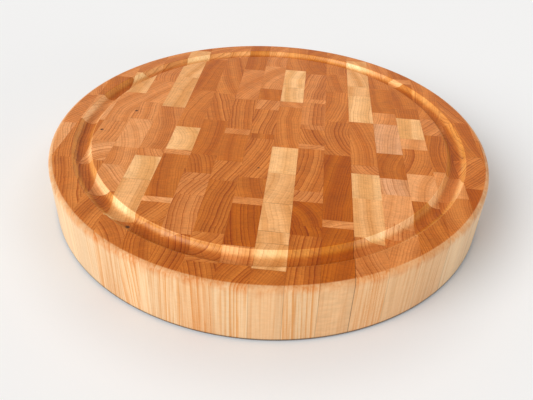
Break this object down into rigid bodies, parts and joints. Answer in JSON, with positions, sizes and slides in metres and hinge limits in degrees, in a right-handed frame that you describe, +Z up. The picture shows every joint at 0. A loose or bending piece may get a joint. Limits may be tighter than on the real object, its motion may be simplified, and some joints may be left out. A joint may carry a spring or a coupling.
{
  "type": "round chopping block",
  "caption": "Thick round end-grain chopping block, glued up from rows of small wood blocks, with a juice groove turned near the rim and rounded edges.",
  "frame": {"origin": "centre of the flat underside, on the surface that the block stands on", "axes": "+Z up through the middle of the disc, +Y along the rows of blocks to the back, +X to the right"},
  "size_m": [0.38, 0.38, 0.05],
  "materials": {
    "end_grain_pale": "oiled end grain, pale sapwood",
    "end_grain_blush": "oiled end grain, light with a pink cast",
    "end_grain_honey": "oiled end grain, honey brown",
    "end_grain_amber": "oiled end grain, amber with strong growth rings",
    "end_grain_russet": "oiled end grain, dark russet heartwood"
  },
  "bodies": {
    "root": {"stave_left_1_amber": "end_grain_amber", "stave_left_1_honey": "end_grain_honey", "stave_left_1_russet": "end_grain_russet", "stave_left_2_amber": "end_grain_amber", "stave_left_2_honey": "end_grain_honey", "stave_left_2_russet": "end_grain_russet", "stave_left_3_amber": "end_grain_amber", "stave_left_3_honey": "end_grain_honey", "stave_left_3_russet": "end_grain_russet", "stave_left_4_amber": "end_grain_amber", "stave_left_4_honey": "end_grain_honey", "stave_left_4_pale": "end_grain_pale", "stave_left_4_russet": "end_grain_russet", "stave_left_5_amber": "end_grain_amber", "stave_left_5_honey": "end_grain_honey", "stave_left_5_pale": "end_grain_pale", "stave_left_5_russet": "end_grain_russet", "stave_left_6_amber": "end_grain_amber", "stave_left_6_honey": "end_grain_honey", "stave_left_7_amber": "end_grain_amber", "stave_left_7_honey": "end_grain_honey", "stave_left_7_pale": "end_grain_pale", "stave_left_8_amber": "end_grain_amber", "stave_left_8_honey": "end_grain_honey", "stave_left_8_russet": "end_grain_russet", "stave_left_9_honey": "end_grain_honey", "stave_right_1_amber": "end_grain_amber", "stave_right_1_honey": "end_grain_honey", "stave_right_1_pale": "end_grain_pale", "stave_right_1_russet": "end_grain_russet", "stave_right_2_amber": "end_grain_amber", "stave_right_2_honey": "end_grain_honey", "stave_right_2_russet": "end_grain_russet", "stave_right_3_amber": "end_grain_amber", "stave_right_3_honey": "end_grain_honey", "stave_right_3_russet": "end_grain_russet", "stave_right_4_amber": "end_grain_amber", "stave_right_4_honey": "end_grain_honey", "stave_right_4_pale": "end_grain_pale", "stave_right_5_amber": "end_grain_amber", "stave_right_5_blush": "end_grain_blush", "stave_right_5_honey": "end_grain_honey", "stave_right_5_russet": "end_grain_russet", "stave_right_6_amber": "end_grain_amber", "stave_right_6_honey": "end_grain_honey", "stave_right_6_pale": "end_grain_pale", "stave_right_6_russet": "end_grain_russet", "stave_right_7_amber": "end_grain_amber", "stave_right_7_honey": "end_grain_honey", "stave_right_7_russet": "end_grain_russet", "stave_right_8_amber": "end_grain_amber", "stave_right_8_russet": "end_grain_russet", "stave_right_9_honey": "end_grain_honey", "stave_right_9_russet": "end_grain_russet"}
  },
  "joints": []
}
